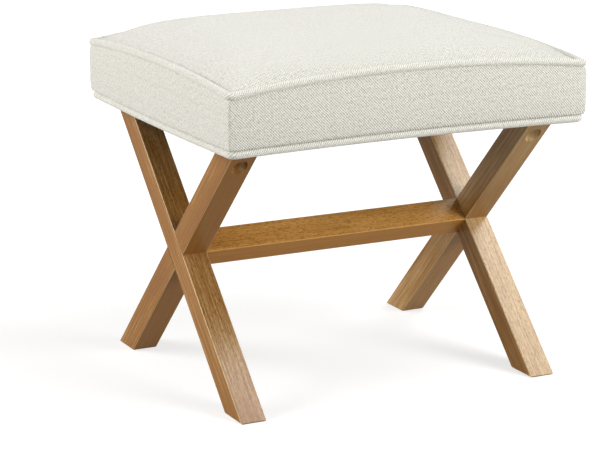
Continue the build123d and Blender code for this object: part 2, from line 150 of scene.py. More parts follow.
# Grain: each noise's stretch along it, scale, detail and roughness, and what each layer adds to the tone
WANDER = (0.12, 22.0, 2.0)
CLOUDS = (0.25, 16.0, 2.0)
STREAKS = (0.030, 330.0, 3.0, 0.6)
HAIRS = (0.020, 1100.0, 2.0)
PORES = (0.15, 1350.0, 1.0)
PORE_RANGE = (0.51, 0.66)
PITH_SIDE, PITH_DEPTH = 0.031, 0.047
PITH_WANDER = 0.020
RING_SCALE = 1150.0
STREAK_TONE, HAIR_TONE, CLOUD_TONE, RING_TONE = 0.65, 0.6, 0.9, 0.06
GRAIN_BUMP, GRAIN_RELIEF, HAIR_RELIEF = 0.25, 0.0002, 0.5
GRAIN_ROUGHNESS, HAIR_ROUGHNESS, PORE_ROUGHNESS = 0.42, 0.16, 0.18

# Stain and painted light by how far up a face looks: the range for each effect, and its share where the range
# starts; the lift is painted light that makes upper faces paler
PORES_FACING, PORES_LEAST = (-0.3, 0.6), 0.1
FIGURE_FACING, FIGURE_LEAST = (-0.5, 0.0), 0.4
PAINTED_LIFT_FACING = (0.0, 0.6)
GLOSS_FACING, GLOSS_LEAST = (0.0, 0.6), 0.1
# Painted highlight on the eased edges of the wood, as a lift of their tone
ARRIS_PAINTED_HIGHLIGHT = 0.45

# Studio: each lamp's place, size, power and tint, the sky as it lights and as it is seen, and the floor
LAMPS = {
    "high right": ((2.15, -1.25, 4.35), 2.2, 95.0, (0.94, 0.97, 1.0)),
    "front right": ((2.5, -3.9, 1.9), 2.6, 168.0, (1.0, 0.98, 0.93)),
    "left": ((-4.3, 1.3, 2.2), 3.0, 221.0, (1.0, 0.98, 0.95)),
}
LAMP_AIM = Vector((0, 0, 0.25))
SKY_LIGHT, SKY_SEEN = 0.2, 1.0
FLOOR_REACH = 30.0
FLOOR_DROP = 0.0002
FLOOR_GREY = 0.42
FLOOR_GLOW = (0.68, 1.0)
FLOOR_GLOW_REACH = (0.6, 2.4)

# Camera at the photograph's angle
CAMERA_PLACE = (-1.3716, -2.6835, 0.9394)
CAMERA_AZIMUTH = -26.28
CAMERA_ELEVATION = 14.33
CAMERA_ROLL = -0.25
CAMERA_LENS = 139.3


# Node helpers


def put(tree, kind, **settings):
    """Adds a node and sets its properties."""
    node = tree.nodes.new(kind)
    for name, value in settings.items():
        setattr(node, name, value)
    return node


def feed(tree, socket, value):
    """Links an output into an input, or sets the input to a plain value."""
    if isinstance(value, bpy.types.NodeSocket):
        tree.links.new(value, socket)
    else:
        socket.default_value = value


def calc(tree, operation, *values):
    """The result of a Math node."""
    node = put(tree, "ShaderNodeMath", operation=operation)
    for socket, value in zip(node.inputs, values):
        feed(tree, socket, value)
    return node.outputs[0]


def calc_vector(tree, operation, *values):
    """The result of a Vector Math node."""
    node = put(tree, "ShaderNodeVectorMath", operation=operation)
    for socket, value in zip(node.inputs, values):
        feed(tree, socket, value)
    return node.outputs[0]


def scaled(tree, vector, factor):
    """A vector times one number."""
    node = put(tree, "ShaderNodeVectorMath", operation="SCALE")
    feed(tree, node.inputs["Vector"], vector)
    feed(tree, node.inputs["Scale"], factor)
    return node.outputs[0]


def noise(tree, vector, scale, detail=2.0, roughness=0.5):
    """A noise texture's value."""
    node = put(tree, "ShaderNodeTexNoise")
    feed(tree, node.inputs["Vector"], vector)
    feed(tree, node.inputs["Scale"], scale)
    node.inputs["Detail"].default_value = detail
    node.inputs["Roughness"].default_value = roughness
    return node.outputs["Fac"]


def spread(tree, value, low, high, to_low=0.0, to_high=1.0):
    """A value moved from one range to another, and kept in it."""
    node = put(tree, "ShaderNodeMapRange")
    for socket, number in zip(node.inputs, (value, low, high, to_low, to_high)):
        feed(tree, socket, number)
    return node.outputs["Result"]


def mixed(tree, share, low, high):
    """Two numbers mixed by a share."""
    node = put(tree, "ShaderNodeMix", data_type="FLOAT")
    for socket, value in zip((node.inputs[0], node.inputs[2], node.inputs[3]), (share, low, high)):
        feed(tree, socket, value)
    return node.outputs[0]


def tinted(tree, share, low, high, blend="MIX"):
    """Two colours mixed by a share."""
    node = put(tree, "ShaderNodeMix", data_type="RGBA", blend_type=blend)
    for socket, value in zip((node.inputs[0], node.inputs[6], node.inputs[7]), (share, low, high)):
        feed(tree, socket, value)
    return node.outputs[2]


def new_tree(name, kind, inputs, outputs):
    """A node group with named sockets, as its tree and its input and output nodes."""
    tree = bpy.data.node_groups.new(name, kind)
    for direction, sockets in (("INPUT", inputs), ("OUTPUT", outputs)):
        for label, socket_type in sockets:
            tree.interface.new_socket(name=label, in_out=direction, socket_type=socket_type)
    return tree, put(tree, "NodeGroupInput").outputs, put(tree, "NodeGroupOutput").inputs


def colour(red, green, blue):
    """A colour given as it looks on screen, in the renderer's linear light."""
    shares = [value / 255 for value in (red, green, blue)]
    linear = [s / 12.92 if s <= 0.04045 else ((s + 0.055) / 1.055) ** 2.4 for s in shares]
    return (*linear, 1.0)


# Shared finishes


def woven_group():
    """Woven cloth: a twill of warp and weft yarns, each with its own tone."""
    tree, given, made = new_tree(
        "woven cloth",
        "ShaderNodeTree",
        [
            ("Vector", "NodeSocketVector"),
            ("Yarn", "NodeSocketFloat"),
            ("Repeat", "NodeSocketFloat"),
            ("Unevenness", "NodeSocketFloat"),
            ("Seam", "NodeSocketFloat"),
            ("Light", "NodeSocketColor"),
            ("Shade", "NodeSocketColor"),
        ],
        [("Color", "NodeSocketColor"), ("Height", "NodeSocketFloat")],
    )
    yarns = scaled(tree, given["Vector"], calc(tree, "DIVIDE", 1.0, given["Yarn"]))
    drift = put(tree, "ShaderNodeTexNoise")
    feed(tree, drift.inputs["Vector"], yarns)
    drift.inputs["Scale"].default_value = YARN_WANDER_SCALE
    shift = calc_vector(tree, "SUBTRACT", drift.outputs["Color"], (0.5, 0.5, 0.5))
    yarns = calc_vector(tree, "ADD", yarns, scaled(tree, shift, YARN_WANDER))
    parts = put(tree, "ShaderNodeSeparateXYZ")
    feed(tree, parts.inputs[0], yarns)
    across, along = parts.outputs[0], parts.outputs[1]
    warp, weft = calc(tree, "FLOOR", across), calc(tree, "FLOOR", along)
    step = calc(tree, "FLOORED_MODULO", calc(tree, "ADD", warp, weft), given["Repeat"])
    over = calc(tree, "LESS_THAN", step, calc(tree, "MULTIPLY", given["Repeat"], 0.5))

    rounds = []
    for place in (along, across):
        middle = calc(tree, "MULTIPLY_ADD", calc(tree, "FRACT", place), 2.0, -1.0)
        rounds.append(calc(tree, "SUBTRACT", 1.0, calc(tree, "MULTIPLY", middle, middle)))
    height = mixed(tree, over, *rounds)

    tones = []
    for number, offset in ((weft, 71.3), (warp, 13.7)):
        yarn = put(tree, "ShaderNodeTexWhiteNoise", noise_dimensions="1D")
        feed(tree, yarn.inputs["W"], calc(tree, "ADD", number, offset))
        tones.append(yarn.outputs["Value"])
    yarn_tone = mixed(tree, over, *tones)
    cell = put(tree, "ShaderNodeCombineXYZ")
    feed(tree, cell.inputs[0], warp)
    feed(tree, cell.inputs[1], weft)
    stitch = put(tree, "ShaderNodeTexWhiteNoise", noise_dimensions="2D")
    feed(tree, stitch.inputs["Vector"], cell.outputs[0])
    fibre = noise(tree, yarns, FIBRE_SCALE, 3.0)
    slubs = noise(tree, yarns, SLUB_SCALE, 2.0)
    counter = calc(tree, "FLOORED_MODULO", calc(tree, "SUBTRACT", warp, weft), given["Repeat"])
    counter = calc(tree, "LESS_THAN", counter, calc(tree, "MULTIPLY", given["Repeat"], 0.5))
    uneven = 0.0
    for layer, weight in (
        (yarn_tone, YARN_UNEVEN),
        (stitch.outputs["Value"], STITCH_UNEVEN),
        (fibre, FIBRE_UNEVEN),
        (slubs, SLUB_UNEVEN),
    ):
        uneven = calc(tree, "MULTIPLY_ADD", calc(tree, "SUBTRACT", layer, 0.5), weight, uneven)
    # The seam input darkens the tone: painted shade in the creases beside the pipings
    tone = calc(tree, "MULTIPLY_ADD", given["Seam"], PAINTED_SEAM_SHADE_TONE, CLOTH_TONE)
    tone = calc(tree, "MULTIPLY_ADD", uneven, given["Unevenness"], tone)
    for layer, weight in ((over, OVER_TONE), (counter, COUNTER_TONE), (height, ROUND_TONE)):
        tone = calc(tree, "MULTIPLY_ADD", layer, weight, tone)
    feed(tree, made["Color"], tinted(tree, spread(tree, tone, 0.0, 1.0), given["Shade"], given["Light"]))
    feed(tree, made["Height"], calc(tree, "MULTIPLY_ADD", fibre, FIBRE_RELIEF, height))
    return tree


def grain_group():
    """Wood with its grain along Z: growth lines, fine streaks and short dark pores."""
    tree, given, made = new_tree(
        "wood grain",
        "ShaderNodeTree",
        [
            ("Vector", "NodeSocketVector"),
            ("Pores", "NodeSocketFloat"),
            ("Figure", "NodeSocketFloat"),
            ("Lift", "NodeSocketFloat"),
            ("Deep", "NodeSocketColor"),
            ("Middle", "NodeSocketColor"),
            ("Pale", "NodeSocketColor"),
        ],
        [("Color", "NodeSocketColor"), ("Height", "NodeSocketFloat"), ("Roughness", "NodeSocketFloat")],
    )

    def grained(stretch, *settings):
        along = calc_vector(tree, "MULTIPLY", given["Vector"], (1.0, 1.0, stretch))
        return noise(tree, along, *settings)

    parts = put(tree, "ShaderNodeSeparateXYZ")
    feed(tree, parts.inputs[0], given["Vector"])
    side = calc(tree, "ADD", parts.outputs[0], PITH_SIDE)
    depth = calc(tree, "ADD", parts.outputs[1], PITH_DEPTH)
    square = calc(tree, "ADD", calc(tree, "MULTIPLY", side, side), calc(tree, "MULTIPLY", depth, depth))
    wander = calc(tree, "MULTIPLY", grained(*WANDER), PITH_WANDER)
    pith = calc(tree, "ADD", calc(tree, "SQRT", square), wander)
    rings = calc(tree, "SINE", calc(tree, "MULTIPLY", pith, RING_SCALE))
    hairs = grained(*HAIRS)
    # Lift raises the whole tone: the piece's tone plus painted light on upper faces and a painted highlight
    # on eased edges
    tone = calc(tree, "ADD", given["Lift"], 0.5)
    for layer, middle, weight in (
        (grained(*STREAKS), 0.5, STREAK_TONE),
        (hairs, 0.5, HAIR_TONE),
        (grained(*CLOUDS), 0.5, CLOUD_TONE),
        (rings, 0.0, RING_TONE),
    ):
        share = calc(tree, "MULTIPLY", calc(tree, "SUBTRACT", layer, middle), weight)
        tone = calc(tree, "MULTIPLY_ADD", share, given["Figure"], tone)
    wood = tinted(tree, spread(tree, tone, 0.0, 0.5), given["Deep"], given["Middle"])
    wood = tinted(tree, spread(tree, tone, 0.5, 1.0), wood, given["Pale"])
    pores = calc(tree, "MULTIPLY", spread(tree, grained(*PORES), *PORE_RANGE), given["Pores"])
    feed(tree, made["Color"], tinted(tree, pores, wood, given["Deep"], "MULTIPLY"))
    feed(tree, made["Height"], calc(tree, "SUBTRACT", calc(tree, "MULTIPLY", hairs, HAIR_RELIEF), pores))
    roughness = calc(tree, "MULTIPLY_ADD", hairs, HAIR_ROUGHNESS, GRAIN_ROUGHNESS)
    feed(tree, made["Roughness"], calc(tree, "MULTIPLY_ADD", pores, PORE_ROUGHNESS, roughness))
    return tree


WOVEN = woven_group()
GRAIN = grain_group()


def new_material(name):
    """An empty material with its shader, as the material, its tree and the shader."""
    material = bpy.data.materials.new(name)
    material.use_nodes = True
    tree = material.node_tree
    return material, tree, tree.nodes["Principled BSDF"]


def bumped(tree, shader, height, strength, distance):
    """Feeds a height to a shader's normal."""
    bump = put(tree, "ShaderNodeBump")
    bump.inputs["Strength"].default_value = strength
    bump.inputs["Distance"].default_value = distance
    feed(tree, bump.inputs["Height"], height)
    feed(tree, shader.inputs["Normal"], bump.outputs["Normal"])


def cloth(name, yarn, repeat, unevenness, light, shade, turn=0.0, sheen=0.2, relief=0.0003):
    """A woven cloth on the piece's own UV map, its yarns turned by an angle in degrees."""
    material, tree, shader = new_material(name)
    uv = put(tree, "ShaderNodeUVMap", uv_map="UVMap")
    place = put(tree, "ShaderNodeMapping")
    place.inputs["Rotation"].default_value[2] = math.radians(turn)
    feed(tree, place.inputs["Vector"], uv.outputs["UV"])
    weave = put(tree, "ShaderNodeGroup", node_tree=WOVEN)
    feed(tree, weave.inputs["Vector"], place.outputs["Vector"])
    # The seam attribute carries painted shade for the creases along the pipings
    feed(tree, weave.inputs["Seam"], put(tree, "ShaderNodeAttribute", attribute_name="seam").outputs["Fac"])
    values = {"Yarn": yarn, "Repeat": repeat, "Unevenness": unevenness, "Light": light, "Shade": shade}
    for label, value in values.items():
        weave.inputs[label].default_value = value
    feed(tree, shader.inputs["Base Color"], weave.outputs["Color"])
    bumped(tree, shader, weave.outputs["Height"], CLOTH_BUMP, relief)
    shader.inputs["Roughness"].default_value = 0.9
    shader.inputs["Specular IOR Level"].default_value = 0.2
    shader.inputs["Sheen Weight"].default_value = sheen
    shader.inputs["Sheen Roughness"].default_value = 0.5
    return material


def arris(tree, facing, on_edge):
    """A mask for the painted highlight: one on the eased edges of square stock, across X or set on edge along
    X, and nothing on its faces.
    """
    if on_edge:
        side = calc(tree, "MULTIPLY_ADD", facing[1], facing[2], 0.5)
    else:
        side = calc(tree, "MULTIPLY", facing[0], facing[0])
    return calc(tree, "MULTIPLY", calc(tree, "MULTIPLY", side, calc(tree, "SUBTRACT", 1.0, side)), 4.0)


def wood(
    name, turn, shift, deep, middle, pale, pores=0.0, figure=1.0, lift=0.0, base=0.0, gloss=0.0, on_edge=False
):
    """Wood whose grain runs along Z once the piece's coordinates are turned, in degrees about X, Y and Z."""
    material, tree, shader = new_material(name)
    coordinates = put(tree, "ShaderNodeTexCoord")
    place = put(tree, "ShaderNodeMapping")
    place.inputs["Rotation"].default_value = [math.radians(angle) for angle in turn]
    place.inputs["Location"].default_value = shift
    feed(tree, place.inputs["Vector"], coordinates.outputs["Object"])
    grain = put(tree, "ShaderNodeGroup", node_tree=GRAIN)
    feed(tree, grain.inputs["Vector"], place.outputs["Vector"])
    for label, value in (("Deep", deep), ("Middle", middle), ("Pale", pale)):
        grain.inputs[label].default_value = value
    facing = put(tree, "ShaderNodeSeparateXYZ")
    feed(tree, facing.inputs[0], coordinates.outputs["Normal"])
    up = facing.outputs[2]
    feed(tree, grain.inputs["Pores"], spread(tree, up, *PORES_FACING, PORES_LEAST * pores, pores))
    feed(tree, grain.inputs["Figure"], spread(tree, up, *FIGURE_FACING, FIGURE_LEAST * figure, figure))
    # Painted highlight on the eased edges, added to the tone
    painted_edge_highlight = arris(tree, facing.outputs, on_edge)
    # Painted light: faces that look upwards are made paler by the lift
    upward = spread(tree, up, *PAINTED_LIFT_FACING, base, base + lift)
    feed(tree, grain.inputs["Lift"], calc(tree, "MULTIPLY_ADD", painted_edge_highlight, ARRIS_PAINTED_HIGHLIGHT, upward))
    feed(tree, shader.inputs["Base Color"], grain.outputs["Color"])
    feed(tree, shader.inputs["Roughness"], grain.outputs["Roughness"])
    bumped(tree, shader, grain.outputs["Height"], GRAIN_BUMP, GRAIN_RELIEF)
    if gloss:
        feed(tree, shader.inputs["Coat Weight"], spread(tree, up, *GLOSS_FACING, GLOSS_LEAST * gloss, gloss))
    shader.inputs["Coat Roughness"].default_value = 0.27
    shader.inputs["Specular IOR Level"].default_value = 0.1
    return material


def zinc_plate():
    """Zinc-plated steel with a faint cloudy bloom."""
    material, tree, shader = new_material("zinc plate")
    coordinates = put(tree, "ShaderNodeTexCoord")
    bloom = noise(tree, coordinates.outputs["Object"], 420.0, 3.0)
    feed(tree, shader.inputs["Base Color"], tinted(tree, bloom, colour(168, 170, 174), colour(214, 213, 208)))
    feed(tree, shader.inputs["Roughness"], spread(tree, bloom, 0.3, 0.7, 0.26, 0.46))
    shader.inputs["Metallic"].default_value = 1.0
    return material


TWILL = {"yarn": 0.0009, "repeat": 4.0, "unevenness": 0.55, "light": colour(253, 252, 245), "sheen": 0.5}
COVER_CLOTH = cloth("cream cover cloth", shade=colour(128, 122, 104), **TWILL)
# The piping cloth's shade yarn is paler than the cover cloth's: painted highlight, so the piping beads read
# brighter where light catches them
PIPING_CLOTH = cloth("cream piping cloth", shade=colour(154, 149, 131), turn=12.0, **TWILL)
DUST_CLOTH = cloth(
    "black dust cloth",
    yarn=0.0006,
    repeat=2.0,
    unevenness=0.8,
    light=colour(42, 42, 44),
    shade=colour(16, 16, 17),
    sheen=0.05,
    relief=0.0001,
)
ZINC = zinc_plate()
STAIN = {"deep": colour(120, 74, 32), "middle": colour(153, 106, 47), "pale": colour(209, 178, 130)}
STRETCHER_STAIN = {"deep": colour(128, 76, 32), "middle": colour(174, 118, 52), "pale": colour(214, 160, 86)}
SOFTWOOD = {"deep": colour(176, 140, 92), "middle": colour(214, 182, 134), "pale": colour(232, 206, 164)}
BEECH = {"deep": colour(178, 134, 96), "middle": colour(210, 170, 128), "pale": colour(224, 190, 152)}

# Stain on the legs and the stretcher: pores, tone, how much paler painted light makes its upper faces, and
# gloss
LEG_LOOK = {"pores": 0.55, "lift": 0.14, "base": -0.07, "gloss": 0.85, **STAIN}
STRETCHER_LOOK = {"pores": 0.55, "lift": 0.16, "base": 0.12, "gloss": 0.35, **STRETCHER_STAIN}

# Which way the grain runs in each wooden node, as a turn that brings it to Z, and the look of stained ones
ALONG_X = (0, -90, 0)
ALONG_Y = (90, 0, 0)
TOP_TO_BACK = (45, 0, 0)
TOP_TO_FRONT = (-45, 0, 0)
STAINED_PIECES = {
    "left_leg_foot_front": (TOP_TO_BACK, LEG_LOOK),
    "left_leg_foot_back": (TOP_TO_FRONT, LEG_LOOK),
    # The right front leg's upper faces get more painted light than the other legs'
    "right_leg_foot_front": (TOP_TO_BACK, {**LEG_LOOK, "lift": 0.26, "base": 0.03}),
    "right_leg_foot_back": (TOP_TO_FRONT, {**LEG_LOOK, "base": 0.13}),
    "stretcher": (ALONG_X, {**STRETCHER_LOOK, "on_edge": True}),
}
STAINED_SHIFT = (0.37, 0.21, 0.53)
SOFTWOOD_PIECES = {"left_rail": ALONG_Y, "right_rail": ALONG_Y, "front_rail": ALONG_X, "back_rail": ALONG_X}
METAL_PIECES = ("seat_bolts", "seat_bolt_washers", "tee_nuts", "deck_screws")


def finish_node(node, material):
    """Gives a CAD node its finish."""
    for slot in NODES[node].material_slots:
        slot.material = material


def finish_frame():
    """Finishes of the wooden and metal nodes that stay as the solids made them."""
    for number, (node, (turn, look)) in enumerate(STAINED_PIECES.items()):
        shift = [step * number for step in STAINED_SHIFT]
        finish_node(node, wood(node + " stain", turn, shift, **look))
    for number, (node, turn) in enumerate(SOFTWOOD_PIECES.items()):
        finish_node(node, wood(node + " softwood", turn, (0.29 * number, 0.0, 0.41), figure=2.0, **SOFTWOOD))
    finish_node("deck_panel", wood("deck plywood", ALONG_X, (0.0, 0.0, 0.0), figure=2.5, **SOFTWOOD))
    beech = wood("dowel beech", ALONG_X, (0.1, 0.2, 0.3), pores=0.3, figure=0.5, **BEECH)
    for node in ("stretcher_dowels", "rail_dowels"):
        finish_node(node, beech)
    for node in METAL_PIECES:
        finish_node(node, ZINC)


# Seat plan: a grid of stations whose rim follows the rounded outline


def plan_stations(run_cells):
    """Stations across the seat, each as its share of the straight run and of the corner round at its end."""
    low = [(-1.0, -share) for share in reversed(CORNER_SHARES)]
    middle = np.linspace(-RUN_MIDDLE, RUN_MIDDLE, run_cells + 1)
    ends = [1 - share for share in END_SHARES]
    run = [(share, 0.0) for share in [-end for end in ends] + list(middle) + ends[::-1]]
    high = [(1.0, share) for share in CORNER_SHARES]
    return np.array(low + run + high)


STATIONS_X, STATIONS_Y = plan_stations(RUN_CELLS_X), plan_stations(RUN_CELLS_Y)
COUNT_X, COUNT_Y = len(STATIONS_X), len(STATIONS_Y)
RUN_X, RUN_Y = np.meshgrid(STATIONS_X[:, 0], STATIONS_Y[:, 0], indexing="ij")
TURN_X, TURN_Y = np.meshgrid(STATIONS_X[:, 1], STATIONS_Y[:, 1], indexing="ij")
ROUND_X = TURN_X * np.sqrt(1 - TURN_Y**2 / 2)
ROUND_Y = TURN_Y * np.sqrt(1 - TURN_X**2 / 2)

# The rim runs from the front left corner along the front, the right, the back and the left
RIM = (
    [(i, 0) for i in range(COUNT_X - 1)]
    + [(COUNT_X - 1, j) for j in range(COUNT_Y - 1)]
    + [(i, COUNT_Y - 1) for i in range(COUNT_X - 1, 0, -1)]
    + [(0, j) for j in range(COUNT_Y - 1, 0, -1)]
)
RIM_I, RIM_J = np.array(RIM).T
RIM_COUNT = len(RIM)
CORNER_COLUMNS = (0, COUNT_X - 1, COUNT_X + COUNT_Y - 2, 2 * COUNT_X + COUNT_Y - 3)
RIM_SWELL_FRONT = 1 - RUN_X[RIM_I, RIM_J] ** 2
RIM_SWELL_SIDE = 1 - RUN_Y[RIM_I, RIM_J] ** 2
RIM_NEAR_CORNER = np.abs(RUN_X[RIM_I, RIM_J] * RUN_Y[RIM_I, RIM_J]) ** CORNER_TUCK_SHARPNESS
TOP_EDGE = TOP_SEAM_Z + FRONT_BOW * RIM_SWELL_FRONT + SIDE_BOW * RIM_SWELL_SIDE
BOTTOM_EDGE = BOTTOM_SEAM_Z + BOTTOM_FRONT_BOW * RIM_SWELL_FRONT + BOTTOM_SIDE_BOW * RIM_SWELL_SIDE


def plan_points(inset, radius):
    """Every station of the plan, drawn in from the seat's outline, with that radius at its corners."""
    x = RUN_X * (HALF_X - inset - radius) + ROUND_X * radius
    y = RUN_Y * (HALF_Y - inset - radius) + ROUND_Y * radius
    return x, y


def rim_ring(inset, radius, height):
    """The rim's stations at an inset and a height, which may differ along the rim."""
    run_x = HALF_X - inset - radius
    run_y = HALF_Y - inset - radius
    x = RUN_X[RIM_I, RIM_J] * run_x + ROUND_X[RIM_I, RIM_J] * radius
    y = RUN_Y[RIM_I, RIM_J] * run_y + ROUND_Y[RIM_I, RIM_J] * radius
    return np.column_stack([x, y, np.broadcast_to(height, RIM_COUNT)])


def depth_in(x, y, inset, radius):
    """How far points lie inside the rounded outline at an inset."""
    over_x = np.abs(x) - (HALF_X - inset - radius)
    over_y = np.abs(y) - (HALF_Y - inset - radius)
    outside = np.hypot(np.maximum(over_x, 0), np.maximum(over_y, 0))
    return radius - outside - np.minimum(np.maximum(over_x, over_y), 0)


def crown_height(x, y):
    """The filled top: nearly flat in the middle, falling over rounded shoulders to the bowed edge."""
    share_x, share_y = np.abs(x) / HALF_X, np.abs(y) / HALF_Y
    pull_x, pull_y = share_x**BOW_SHARPNESS + 1e-9, share_y**BOW_SHARPNESS + 1e-9
    bow = FRONT_BOW * (1 - share_x**2) * pull_y + SIDE_BOW * (1 - share_y**2) * pull_x
    edge = TOP_SEAM_Z + CROWN_EDGE_RISE + bow / (pull_x + pull_y)
    crown_x = np.minimum(np.abs(x) / (HALF_X - CROWN_START), 1)
    crown_y = np.minimum(np.abs(y) / (HALF_Y - CROWN_START), 1)
    body = (1 - crown_x**CROWN_SQUARENESS) * (1 - crown_y**CROWN_SQUARENESS)
    full = body**CROWN_SHOULDER
    return edge * (1 - full) + CROWN_TOP * full


def mesh_object(name, points, faces, material, uv=None):
    """A new mesh piece, with a UV for each corner of each face where given."""
    mesh = bpy.data.meshes.new(name)
    mesh.from_pydata([tuple(point) for point in points], [], faces)
    if uv is not None:
        layer = mesh.uv_layers.new(name="UVMap")
        layer.data.foreach_set("uv", np.asarray(uv, np.float32).ravel())
    mesh.materials.append(material)
    mesh.polygons.foreach_set("use_smooth", [True] * len(mesh.polygons))
    mesh.update()
    piece = bpy.data.objects.new(name, mesh)
    bpy.context.scene.collection.objects.link(piece)
    return piece


def grid_faces(first, upward):
    """Faces of a whole grid of stations, and the plan UV of their corners."""
    faces, corners = [], []
    for i in range(COUNT_X - 1):
        for j in range(COUNT_Y - 1):
            square = [(i, j), (i + 1, j), (i + 1, j + 1), (i, j + 1)]
            if not upward:
                square.reverse()
            faces.append([first + a * COUNT_Y + b for a, b in square])
            corners.extend(square)
    return faces, np.array(corners)


def band_lengths():
    """Each strip's start and end along its band, measured from the middle of that band."""
    ring = rim_ring(BAND_TOP_INSET, BAND_CORNER_RADIUS, 0.0)
    steps = np.linalg.norm(np.roll(ring, -1, axis=0) - ring, axis=1)
    along = np.concatenate([[0.0], np.cumsum(steps)])
    starts = np.zeros(RIM_COUNT)
    for first, last in zip(CORNER_COLUMNS, (*CORNER_COLUMNS[1:], RIM_COUNT)):
        starts[first:last] = (along[first] + along[last]) / 2
    return along[:-1] - starts, along[1:] - starts


def cushion_layers():
    """The cushion's points, from the crown down the bands, under their edge and back up over the deck."""
    x, y = plan_points(TOP_SEAM_INSET, SEAM_CORNER_RADIUS)
    inside = np.maximum(depth_in(x, y, TOP_SEAM_INSET, SEAM_CORNER_RADIUS), 0.0)
    ease = np.clip(inside / SLACK_WIDTH, 0, 1)
    slack = SWELL * ease * ease * (3 - 2 * ease)
    dip = SEAM_DIP * np.exp(-((np.maximum(inside - SEAM_NOTCH, 0) / SEAM_FADE) ** 2))
    z = crown_height(x, y) - dip - slack
    top = np.stack([x, y, z], axis=-1).reshape(-1, 3)

    band_top = TOP_EDGE - BAND_TOP_DROP
    band_bottom = BOTTOM_EDGE + BAND_BOTTOM_RISE
    seam = np.zeros(RIM_COUNT)
    for column in CORNER_COLUMNS:
        for offset, share in CORNER_SEAM_SHARES:
            seam[(column + offset) % RIM_COUNT] = share * CORNER_SEAM_DEPTH
    rings, holds = [], []
    for row in range(BAND_ROWS):
        share = (1 + math.cos(math.pi * row / (BAND_ROWS - 1))) / 2
        fullness = 1 - abs(2 * share - 1) ** BAND_SQUARENESS
        edge = BAND_BOTTOM_INSET * (1 - share) + (BAND_TOP_INSET + CORNER_TUCK_TOP * RIM_NEAR_CORNER) * share
        face = BAND_FACE_INSET + CORNER_TUCK_FACE * RIM_NEAR_CORNER
        inset = edge * (1 - fullness) + face * fullness
        ring = rim_ring(inset, BAND_CORNER_RADIUS, band_bottom * (1 - share) + band_top * share)
        outward = ring[:, :2] / np.linalg.norm(ring[:, :2], axis=1, keepdims=True)
        ring[:, :2] -= outward * seam[:, None] * min(1.0, 3 * fullness)
        rings.append(ring)
        holds.append(1 - fullness)
    rail_side = RAIL_INSET - FILLING_GAP
    rings.append(rim_ring(BOTTOM_SEAM_INSET, BOTTOM_CORNER_RADIUS, band_bottom))
    rings.append(rim_ring(rail_side, RAIL_CORNER_RADIUS, band_bottom + FILLING_GAP))
    rings.append(rim_ring(rail_side, RAIL_CORNER_RADIUS, (RAIL_BOTTOM + DECK_TOP) / 2))
    holds.extend([1.0, 1.0, 1.0])
    low_x, low_y = plan_points(rail_side, RAIL_CORNER_RADIUS)
    deck = np.stack([low_x, low_y, np.full_like(low_x, DECK_TOP + FILLING_GAP)], axis=-1).reshape(-1, 3)
    held = np.concatenate(
        [1 - np.clip(inside.ravel() / SEAM_HOLD, 0, 1)]
        + [np.full(RIM_COUNT, hold) for hold in holds]
        + [np.ones(len(deck))]
    )
    return top, rings, deck, held


def seat_cushion():
    """The filled seat: crowned top, four bands and the hidden underside, as one closed cover."""
    top, rings, deck, held = cushion_layers()
    points = np.concatenate([top, *rings, deck])
    deck_first = len(points) - len(deck)
    faces, corners = grid_faces(0, True)
    uv = [points[a * COUNT_Y + b][:2] for a, b in corners]
    rim = RIM_I * COUNT_Y + RIM_J
    loops = [rim]
    loops += [len(top) + number * RIM_COUNT + np.arange(RIM_COUNT) for number in range(len(rings))]
    loops.append(deck_first + rim)
    starts, ends = band_lengths()
    for upper, lower in zip(loops, loops[1:]):
        for column in range(RIM_COUNT):
            after = (column + 1) % RIM_COUNT
            strip = (upper[column], lower[column], lower[after], upper[after])
            faces.append([int(index) for index in strip])
            places = (starts[column], starts[column], ends[column], ends[column])
            uv.extend((place, points[index][2]) for place, index in zip(places, strip))
    deck_faces, corners = grid_faces(deck_first, False)
    faces += deck_faces
    uv.extend(points[deck_first + a * COUNT_Y + b][:2] for a, b in corners)
    piece = mesh_object("seat_cushion", points, faces, COVER_CLOTH, uv)
    # Painted shade in the creases along the seams, kept as the point attribute seam: on the top it fades
    # inwards from the piping, on the bands it darkens the rows under the top piping and above the bottom one
    inside = np.maximum(depth_in(top[:, 0], top[:, 1], TOP_SEAM_INSET, SEAM_CORNER_RADIUS), 0.0)
    seam = np.zeros(len(points), np.float32)
    seam[: len(top)] = np.exp(-((inside / PAINTED_SEAM_SHADE_WIDTH) ** 2))
    for row, shade in PAINTED_BAND_SEAM_SHADES.items():
        first = len(top) + row % BAND_ROWS * RIM_COUNT
        seam[first : first + RIM_COUNT] = shade
    piece.data.attributes.new("seam", "FLOAT", "POINT").data.foreach_set("value", seam)
    raise_crown(piece, points, swelling(piece, points, held))
    smooth = piece.modifiers.new("smooth cover", "SUBSURF")
    smooth.levels = smooth.render_levels = 1
    return piece


